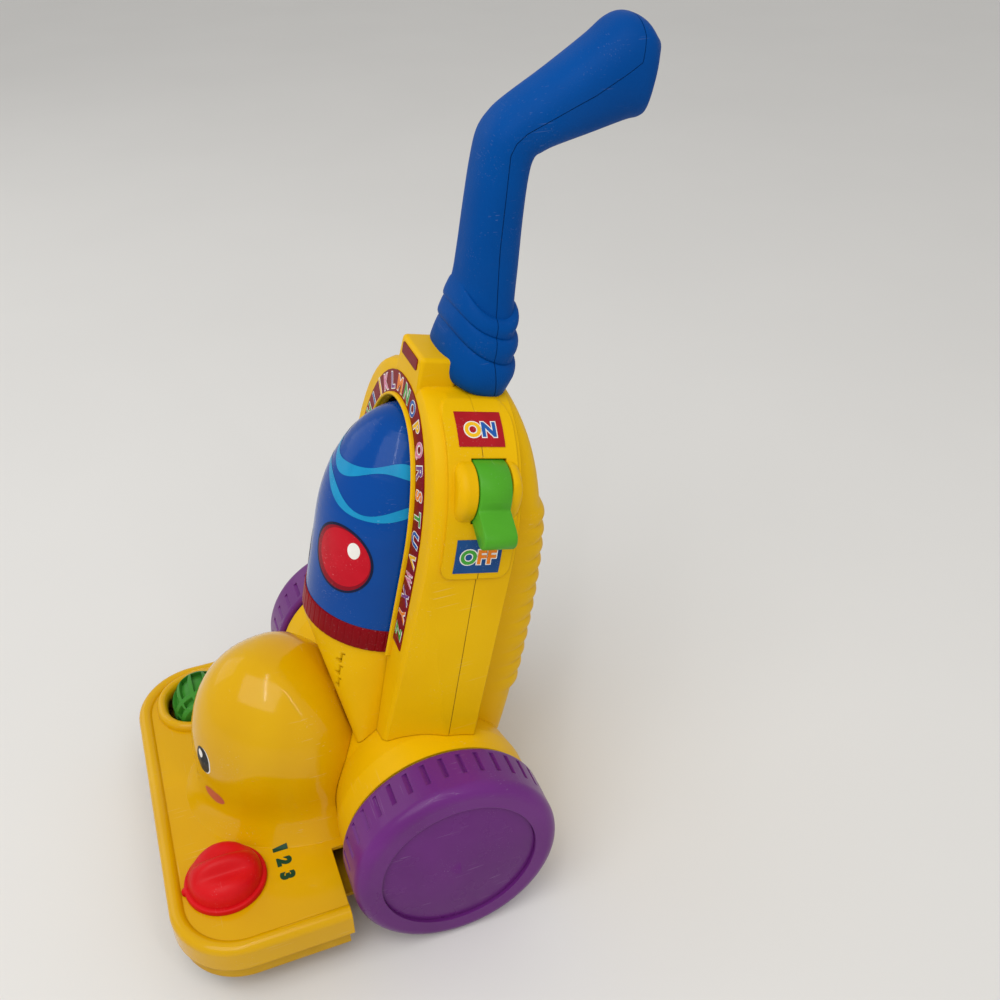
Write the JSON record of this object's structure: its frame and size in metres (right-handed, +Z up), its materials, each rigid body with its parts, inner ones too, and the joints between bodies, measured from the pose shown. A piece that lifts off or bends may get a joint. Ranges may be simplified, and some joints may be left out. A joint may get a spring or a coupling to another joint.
{
  "type": "toy vacuum cleaner",
  "caption": "Upright push-along toy vacuum cleaner with big rear wheels, a domed nose, a spinning drum, a flip switch, a dial, a ribbed roller and a bent handle.",
  "frame": {"origin": "middle of the object on the floor it stands on; the rear axle lies above the origin", "axes": "+Z up, -Y towards the nose, +X towards the side with the switch and the dial"},
  "size_m": [0.241, 0.3123, 0.472],
  "materials": {
    "glossy_yellow": "glossy moulded plastic",
    "body_yellow": "satin moulded plastic",
    "pan_yellow": "fine matt moulded plastic",
    "wheel_purple": "satin moulded plastic",
    "steel": "plain drawn steel",
    "roller_black": "matt moulded plastic",
    "dial_red": "glossy moulded plastic",
    "black_plastic": "matt moulded plastic",
    "roller_green": "satin moulded plastic",
    "band_red": "printed film",
    "drum_blue": "glossy plastic under a printed film",
    "collar_red": "satin moulded plastic",
    "lever_green": "satin moulded plastic",
    "label_red": "printed film",
    "label_blue": "printed film",
    "handle_blue": "fine matt moulded plastic",
    "cell_wrap": "plain wrapped cell",
    "board_green": "coated board"
  },
  "bodies": {
    "body": {"nose_shell": "glossy_yellow", "underside_pan": "pan_yellow", "wheel_housing": "body_yellow", "axle": "steel", "axle_nuts": "steel", "front_roller_pins": "steel", "nose_roller_pin": "steel", "roller_cradle": "black_plastic", "upright_front_shell": "body_yellow", "upright_rear_shell": "body_yellow", "letter_band": "band_red", "top_plate": "band_red", "neck_panel": "body_yellow", "loudspeaker": "black_plastic", "drum_spindle": "steel", "drum_bearing": "body_yellow", "switch_pin": "steel", "on_label": "label_red", "off_label": "label_blue", "handle_front_half": "handle_blue", "handle_rear_half": "handle_blue", "handle_post": "black_plastic", "battery_tray": "black_plastic", "battery_cells": "cell_wrap", "battery_door": "pan_yellow", "circuit_board": "board_green", "nose_screws": "steel"},
    "right_wheel": {"right_wheel": "wheel_purple", "right_wheel_disc": "wheel_purple"},
    "left_wheel": {"left_wheel": "wheel_purple", "left_wheel_disc": "wheel_purple"},
    "right_front_roller": {"right_front_roller": "roller_black"},
    "left_front_roller": {"left_front_roller": "roller_black"},
    "dial": {"dial_knob": "dial_red", "dial_washer": "black_plastic"},
    "nose_roller": {"nose_roller": "roller_green"},
    "drum": {"drum_dome": "drum_blue", "drum_collar": "collar_red"},
    "switch_lever": {"switch_lever": "lever_green"}
  },
  "joints": [
    {"name": "right_wheel_spin", "type": "hinge", "parent": "body", "child": "right_wheel", "pos_m": [0.104, 0, 0.06], "axis": [1, 0, 0], "continuous": true},
    {"name": "left_wheel_spin", "type": "hinge", "parent": "body", "child": "left_wheel", "pos_m": [-0.104, 0, 0.06], "axis": [1, 0, 0], "continuous": true},
    {"name": "right_front_roller_spin", "type": "hinge", "parent": "body", "child": "right_front_roller", "pos_m": [0.088, -0.132, 0.013], "axis": [1, 0, 0], "continuous": true},
    {"name": "left_front_roller_spin", "type": "hinge", "parent": "body", "child": "left_front_roller", "pos_m": [-0.088, -0.132, 0.013], "axis": [1, 0, 0], "continuous": true},
    {"name": "dial_turn", "type": "hinge", "parent": "body", "child": "dial", "pos_m": [0.06844, -0.1244, 0.045], "axis": [0, 0, 1], "continuous": true},
    {"name": "nose_roller_spin", "type": "hinge", "parent": "body", "child": "nose_roller", "pos_m": [-0.08201, -0.116, 0.043], "axis": [1, 0, 0], "continuous": true},
    {"name": "drum_spin", "type": "hinge", "parent": "body", "child": "drum", "pos_m": [0, 0.00292, 0.19933], "axis": [0, 0.225, 0.9744], "continuous": true},
    {"name": "switch_flip", "type": "hinge", "parent": "body", "child": "switch_lever", "pos_m": [0.0575, 0.03287, 0.26682], "axis": [0, -0.9744, 0.225], "range_deg": [0, 82]}
  ]
}
